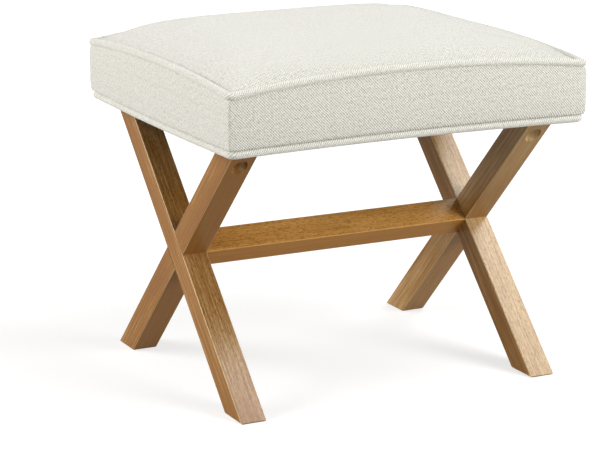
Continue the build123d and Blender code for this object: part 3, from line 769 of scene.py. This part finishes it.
def swelling(piece, points, held):
    """How far each point of the cover moves when the filling presses on it and the seams hold."""
    sewn = piece.vertex_groups.new(name="sewn")
    for step in range(1, 11):
        chosen = np.flatnonzero(np.round(held * 10) == step)
        sewn.add([int(index) for index in chosen], step / 10, "REPLACE")
    cover = piece.modifiers.new("filling", "CLOTH")
    cover.settings.quality = 6
    cover.settings.mass = 0.3
    cover.settings.tension_stiffness = cover.settings.compression_stiffness = 12.0
    cover.settings.shear_stiffness = 5.0
    cover.settings.bending_stiffness = 0.5
    cover.settings.vertex_group_mass = sewn.name
    cover.settings.use_pressure = True
    cover.settings.uniform_pressure_force = SWELL_PRESSURE
    cover.settings.effector_weights.gravity = 0.0
    cover.collision_settings.use_collision = False
    cover.point_cache.frame_start = 1
    cover.point_cache.frame_end = SWELL_FRAMES
    scene = bpy.context.scene
    for number in range(1, SWELL_FRAMES + 1):
        scene.frame_set(number)
    shaped = piece.evaluated_get(bpy.context.evaluated_depsgraph_get())
    moved = np.zeros(len(points) * 3, np.float32)
    shaped.data.vertices.foreach_get("co", moved)
    piece.modifiers.remove(cover)
    piece.vertex_groups.remove(sewn)
    scene.frame_set(1)
    travel = moved.reshape(-1, 3) - points
    reach = np.maximum(np.linalg.norm(travel, axis=1, keepdims=True), 1e-9)
    return travel * np.minimum(1.0, SWELL_CAP / reach)


def raise_crown(piece, points, travel):
    """Moves the cover by its swelling, scaled so that the crown comes to its height."""
    middle = (COUNT_X // 2) * COUNT_Y + COUNT_Y // 2
    lift = (CROWN_TOP - points[middle, 2]) / max(travel[middle, 2], 1e-6)
    final = points + travel * lift
    piece.data.vertices.foreach_set("co", final.astype(np.float32).ravel())
    piece.data.update()


# Piping, tape, dust cover and staples


def piping_tree():
    """Cloth-covered cord swept along a route, with its length and girth as UV."""
    tree, given, made = new_tree(
        "piping",
        "GeometryNodeTree",
        [
            ("Route", "NodeSocketGeometry"),
            ("Radius", "NodeSocketFloat"),
            ("Sides", "NodeSocketInt"),
            ("Lumps", "NodeSocketFloat"),
            ("Cloth", "NodeSocketMaterial"),
        ],
        [("Piping", "NodeSocketGeometry")],
    )
    line = put(tree, "GeometryNodeMeshToCurve")
    feed(tree, line.inputs["Mesh"], given["Route"])
    upright = put(tree, "GeometryNodeSetCurveNormal", mode="Z_UP")
    feed(tree, upright.inputs["Curve"], line.outputs["Curve"])
    girth = put(tree, "GeometryNodeCurveArc", mode="RADIUS")
    feed(tree, girth.inputs["Resolution"], calc(tree, "ADD", given["Sides"], 1.0))
    feed(tree, girth.inputs["Radius"], given["Radius"])
    girth.inputs["Sweep Angle"].default_value = 2 * math.pi
    ways = []
    for label, curve in (("Along", upright.outputs["Curve"]), ("Around", girth.outputs["Curve"])):
        keep = put(tree, "GeometryNodeCaptureAttribute")
        keep.capture_items.new("FLOAT", label)
        feed(tree, keep.inputs["Geometry"], curve)
        feed(tree, keep.inputs[label], put(tree, "GeometryNodeSplineParameter").outputs["Length"])
        ways.append(keep)
    lump = noise(tree, put(tree, "GeometryNodeInputPosition").outputs["Position"], PIPING_LUMP_SCALE)
    thickness = calc(tree, "MULTIPLY_ADD", calc(tree, "SUBTRACT", lump, 0.5), given["Lumps"], 1.0)
    tube = put(tree, "GeometryNodeCurveToMesh")
    feed(tree, tube.inputs["Curve"], ways[0].outputs["Geometry"])
    feed(tree, tube.inputs["Profile Curve"], ways[1].outputs["Geometry"])
    feed(tree, tube.inputs["Scale"], thickness)
    place = put(tree, "ShaderNodeCombineXYZ")
    feed(tree, place.inputs[0], ways[0].outputs["Along"])
    feed(tree, place.inputs[1], ways[1].outputs["Around"])
    store = put(tree, "GeometryNodeStoreNamedAttribute", data_type="FLOAT2", domain="CORNER")
    store.inputs["Name"].default_value = "UVMap"
    feed(tree, store.inputs["Geometry"], tube.outputs["Mesh"])
    feed(tree, store.inputs["Value"], place.outputs[0])
    close = put(tree, "GeometryNodeMergeByDistance")
    close.inputs["Distance"].default_value = PIPING_MERGE
    feed(tree, close.inputs["Geometry"], store.outputs["Geometry"])
    finish_tree(tree, close.outputs["Geometry"], given["Cloth"], made["Piping"])
    return tree


def finish_tree(tree, geometry, material, result):
    """Ends a tree: instances made real, smooth faces and a material."""
    real = put(tree, "GeometryNodeRealizeInstances")
    feed(tree, real.inputs["Geometry"], geometry)
    smooth = put(tree, "GeometryNodeSetShadeSmooth")
    feed(tree, smooth.inputs["Geometry"], real.outputs["Geometry"])
    finish = put(tree, "GeometryNodeSetMaterial")
    feed(tree, finish.inputs["Geometry"], smooth.outputs["Geometry"])
    feed(tree, finish.inputs["Material"], material)
    feed(tree, result, finish.outputs["Geometry"])


def grown(piece, tree, **values):
    """Runs a tree on a piece with the values of its named inputs, and keeps the result as a plain mesh."""
    modifier = piece.modifiers.new(tree.name, "NODES")
    modifier.node_group = tree
    for item in tree.interface.items_tree:
        label = item.name.lower().replace(" ", "_")
        if item.in_out == "INPUT" and label in values:
            modifier[item.identifier] = values[label]
    view = bpy.context.evaluated_depsgraph_get()
    mesh = bpy.data.meshes.new_from_object(piece.evaluated_get(view), depsgraph=view)
    piece.modifiers.clear()
    piece.data = mesh
    mesh.name = piece.name
    return piece


def wire_object(name, points):
    """A piece made of one open line of points."""
    mesh = bpy.data.meshes.new(name)
    mesh.from_pydata([tuple(point) for point in points], [(i, i + 1) for i in range(len(points) - 1)], [])
    piece = bpy.data.objects.new(name, mesh)
    bpy.context.scene.collection.objects.link(piece)
    return piece


def outward_faces(piece):
    """Turns every face of a closed piece outwards."""
    shell = bmesh.new()
    shell.from_mesh(piece.data)
    bmesh.ops.recalc_face_normals(shell, faces=shell.faces)
    shell.to_mesh(piece.data)
    shell.free()


def piping(name, tree, inset, corner, height, radius):
    """A closed run of piping round the seat, joined at the middle of the back."""
    ring = rim_ring(inset, corner, height)
    back_middle = COUNT_X + COUNT_Y - 2 + (COUNT_X - 1) // 2
    route = np.roll(ring, -back_middle, axis=0)
    piece = wire_object(name, [*route, route[0]])
    grown(piece, tree, radius=radius, sides=PIPING_SIDES, lumps=PIPING_LUMPS, cloth=PIPING_CLOTH)
    outward_faces(piece)
    return piece


def bottom_tape():
    """The flat edge of the bottom piping's cloth, tacked under the rails."""
    inner = BOTTOM_SEAM_INSET + TAPE_WIDTH
    low, high = COVER_HIGH.z, RAIL_BOTTOM
    sections = ((BOTTOM_SEAM_INSET, low), (BOTTOM_SEAM_INSET, high), (inner, high), (inner, low))
    rings = [rim_ring(inset, RAIL_CORNER_RADIUS, height) for inset, height in sections]
    faces, uv = [], []
    starts, ends = band_lengths()
    for number in range(len(sections)):
        following = (number + 1) % len(sections)
        upper, lower = number * RIM_COUNT, following * RIM_COUNT
        near, far = sections[number][0], sections[following][0]
        for column in range(RIM_COUNT):
            after = (column + 1) % RIM_COUNT
            faces.append([upper + column, lower + column, lower + after, upper + after])
            start, end = starts[column], ends[column]
            uv.extend([(start, near), (start, far), (end, far), (end, near)])
    return mesh_object("bottom_tape", np.concatenate(rings), faces, PIPING_CLOTH, uv)


def joined(piece, other):
    """Adds another piece's mesh to a piece."""
    shell = bmesh.new()
    shell.from_mesh(piece.data)
    shell.from_mesh(other.data)
    shell.to_mesh(piece.data)
    shell.free()
    bpy.data.objects.remove(other)
    return piece


def dust_cover():
    """The thin black sheet under the seat, stretched from rail to rail with a little sag."""
    x, y = plan_points(DUST_COVER_INSET, RAIL_CORNER_RADIUS)
    open_x = 1 - np.clip(np.abs(x) / DUST_COVER_OPEN_X, 0, 1) ** 2
    open_y = 1 - np.clip(np.abs(y) / DUST_COVER_OPEN_Y, 0, 1) ** 2
    z = COVER_LOW.z - DUST_COVER_SAG * open_x * open_y
    points = np.stack([x, y, z], axis=-1).reshape(-1, 3)
    faces, corners = grid_faces(0, True)
    uv = [points[a * COUNT_Y + b][:2] for a, b in corners]
    piece = mesh_object("dust_cover_sheet", points, faces, DUST_CLOTH, uv)
    wall = piece.modifiers.new("thickness", "SOLIDIFY")
    wall.thickness = COVER_HIGH.z - COVER_LOW.z
    wall.offset = 1.0
    return piece


def staple_tree():
    """Wire staples in four rows round the underside."""
    tree, given, made = new_tree(
        "staple rows",
        "GeometryNodeTree",
        [
            ("Wire Line", "NodeSocketGeometry"),
            ("Wire", "NodeSocketFloat"),
            ("Half X", "NodeSocketFloat"),
            ("Half Y", "NodeSocketFloat"),
            ("Level", "NodeSocketFloat"),
            ("Long Count", "NodeSocketInt"),
            ("Short Count", "NodeSocketInt"),
            ("Steel", "NodeSocketMaterial"),
        ],
        [("Staples", "NodeSocketGeometry")],
    )
    line = put(tree, "GeometryNodeMeshToCurve")
    feed(tree, line.inputs["Mesh"], given["Wire Line"])
    bend = put(tree, "GeometryNodeFilletCurve", mode="POLY")
    feed(tree, bend.inputs["Curve"], line.outputs["Curve"])
    bend.inputs["Count"].default_value = 3
    feed(tree, bend.inputs["Radius"], given["Wire"])
    girth = put(tree, "GeometryNodeCurvePrimitiveCircle")
    girth.inputs["Resolution"].default_value = 6
    feed(tree, girth.inputs["Radius"], calc(tree, "MULTIPLY", given["Wire"], 0.5))
    wire = put(tree, "GeometryNodeCurveToMesh")
    feed(tree, wire.inputs["Curve"], bend.outputs["Curve"])
    feed(tree, wire.inputs["Profile Curve"], girth.outputs["Curve"])
    wire.inputs["Fill Caps"].default_value = True
    rows = put(tree, "GeometryNodeJoinGeometry")
    for side in (-1.0, 1.0):
        for long_side in (True, False):
            half, offset, count = given["Half X"], given["Half Y"], given["Long Count"]
            if not long_side:
                half, offset, count = given["Half Y"], given["Half X"], given["Short Count"]
            step = calc(tree, "DIVIDE", calc(tree, "MULTIPLY", half, 2.0), count)
            first = calc(tree, "SUBTRACT", calc(tree, "MULTIPLY", step, 0.5), half)
            across = calc(tree, "MULTIPLY", offset, side)
            start, pace = put(tree, "ShaderNodeCombineXYZ"), put(tree, "ShaderNodeCombineXYZ")
            feed(tree, start.inputs[0], first if long_side else across)
            feed(tree, start.inputs[1], across if long_side else first)
            feed(tree, start.inputs[2], given["Level"])
            feed(tree, pace.inputs[0 if long_side else 1], step)
            row = put(tree, "GeometryNodeMeshLine", mode="OFFSET")
            feed(tree, row.inputs["Count"], count)
            feed(tree, row.inputs["Start Location"], start.outputs[0])
            feed(tree, row.inputs["Offset"], pace.outputs[0])
            copies = put(tree, "GeometryNodeInstanceOnPoints")
            feed(tree, copies.inputs["Points"], row.outputs["Mesh"])
            feed(tree, copies.inputs["Instance"], wire.outputs["Mesh"])
            copies.inputs["Rotation"].default_value = (0.0, 0.0, 0.0 if long_side else math.pi / 2)
            feed(tree, rows.inputs[0], copies.outputs["Instances"])
    finish_tree(tree, rows.outputs[0], given["Steel"], made["Staples"])
    return tree


def dust_cover_staples():
    """The thirty staples that hold the dust cover."""
    half = (STAPLE_CROWN - STAPLE_WIRE) / 2
    line = [(-half, 0, STAPLE_LEG), (-half, 0, 0), (half, 0, 0), (half, 0, STAPLE_LEG)]
    piece = wire_object("dust_cover_staple_wires", line)
    return grown(
        piece,
        staple_tree(),
        wire=STAPLE_WIRE,
        half_x=STAPLE_HIGH.x - STAPLE_WIRE / 2,
        half_y=STAPLE_HIGH.y - STAPLE_WIRE / 2,
        level=STAPLE_LOW.z + STAPLE_WIRE / 2,
        long_count=STAPLES_ON_LONG_SIDE,
        short_count=STAPLES_ON_SHORT_SIDE,
        steel=ZINC,
    )


def dress():
    """Makes the soft pieces and ties each one to the frame."""
    cushion = seat_cushion()
    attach(cushion, "root")
    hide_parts("foam_pad", "top_wadding", "side_wadding", "top_panel")
    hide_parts("front_band", "back_band", "left_band", "right_band")

    tree = piping_tree()
    top = piping("top_welt_piping", tree, TOP_SEAM_INSET, SEAM_CORNER_RADIUS, TOP_EDGE, TOP_PIPING_RADIUS)
    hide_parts("top_welt", "top_welt_cord")
    bottom = piping(
        "bottom_welt_piping",
        tree,
        BOTTOM_SEAM_INSET,
        BOTTOM_CORNER_RADIUS,
        BOTTOM_EDGE,
        BOTTOM_PIPING_RADIUS,
    )
    joined(bottom, bottom_tape())
    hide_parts("bottom_welt", "bottom_welt_cord")
    for piece in (top, bottom):
        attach(piece, "root")

    sheet = dust_cover()
    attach(sheet, "root")
    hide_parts("dust_cover")

    wires = dust_cover_staples()
    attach(wires, "root")
    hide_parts("dust_cover_staples")


# Studio


def lamp(name, place, size, power, tint):
    """A square soft light aimed at the stool."""
    data = bpy.data.lights.new(name, "AREA")
    data.size = size
    data.energy = power
    data.color = tint
    light = bpy.data.objects.new(name, data)
    light.location = place
    light.rotation_euler = (LAMP_AIM - Vector(place)).to_track_quat("-Z", "Y").to_euler()
    bpy.context.scene.collection.objects.link(light)


def seen_directly(tree):
    """One where a surface is seen by the camera, in a reflection or through glass."""
    path = put(tree, "ShaderNodeLightPath")
    seen = calc(tree, "MAXIMUM", path.outputs["Is Camera Ray"], path.outputs["Is Glossy Ray"])
    return calc(tree, "MAXIMUM", seen, path.outputs["Is Transmission Ray"])


def studio():
    """White floor, soft lights and an even sky."""
    scene = bpy.context.scene
    scene.view_settings.view_transform = "Standard"
    world = bpy.data.worlds.new("studio")
    scene.world = world
    world.use_nodes = True
    tree = world.node_tree
    sky = tree.nodes["Background"]
    feed(tree, sky.inputs["Strength"], mixed(tree, seen_directly(tree), SKY_LIGHT, SKY_SEEN))
    sky.inputs["Color"].default_value = (1.0, 1.0, 1.0, 1.0)

    for name, settings in LAMPS.items():
        lamp(name, *settings)

    sides = ((-1, -1), (1, -1), (1, 1), (-1, 1))
    corners = [(x * FLOOR_REACH, y * FLOOR_REACH, -FLOOR_DROP) for x, y in sides]
    floor = mesh_object("floor", corners, [(0, 1, 2, 3)], white_floor())


def white_floor():
    """A pale floor that the camera sees as white, with the stool's shadow kept."""
    material, tree, shader = new_material("white floor")
    shader.inputs["Base Color"].default_value = (FLOOR_GREY, FLOOR_GREY, FLOOR_GREY, 1.0)
    shader.inputs["Roughness"].default_value = 0.9
    shader.inputs["Specular IOR Level"].default_value = 0.0
    shader.inputs["Emission Color"].default_value = (1.0, 1.0, 1.0, 1.0)
    place = put(tree, "ShaderNodeTexCoord").outputs["Object"]
    away = put(tree, "ShaderNodeVectorMath", operation="LENGTH")
    feed(tree, away.inputs[0], place)
    glow = spread(tree, away.outputs["Value"], *FLOOR_GLOW_REACH, *FLOOR_GLOW)
    feed(tree, shader.inputs["Emission Strength"], calc(tree, "MULTIPLY", seen_directly(tree), glow))
    return material


def camera():
    """The camera at the photograph's place."""
    turn, rise, roll = (math.radians(angle) for angle in (CAMERA_AZIMUTH, CAMERA_ELEVATION, CAMERA_ROLL))
    back = Vector((math.sin(turn) * math.cos(rise), -math.cos(turn) * math.cos(rise), math.sin(rise)))
    level = (-back).cross(Vector((0, 0, 1))).normalized()
    above = level.cross(-back)
    right = level * math.cos(roll) + above * math.sin(roll)
    up = above * math.cos(roll) - level * math.sin(roll)
    data = bpy.data.cameras.new("camera")
    data.sensor_width = 36.0
    data.lens = CAMERA_LENS
    data.clip_end = 100.0
    viewer = bpy.data.objects.new("camera", data)
    viewer.matrix_world = Matrix.Translation(CAMERA_PLACE) @ Matrix((right, up, back)).transposed().to_4x4()
    bpy.context.scene.collection.objects.link(viewer)
    bpy.context.scene.camera = viewer


finish_frame()
dress()
studio()
camera()
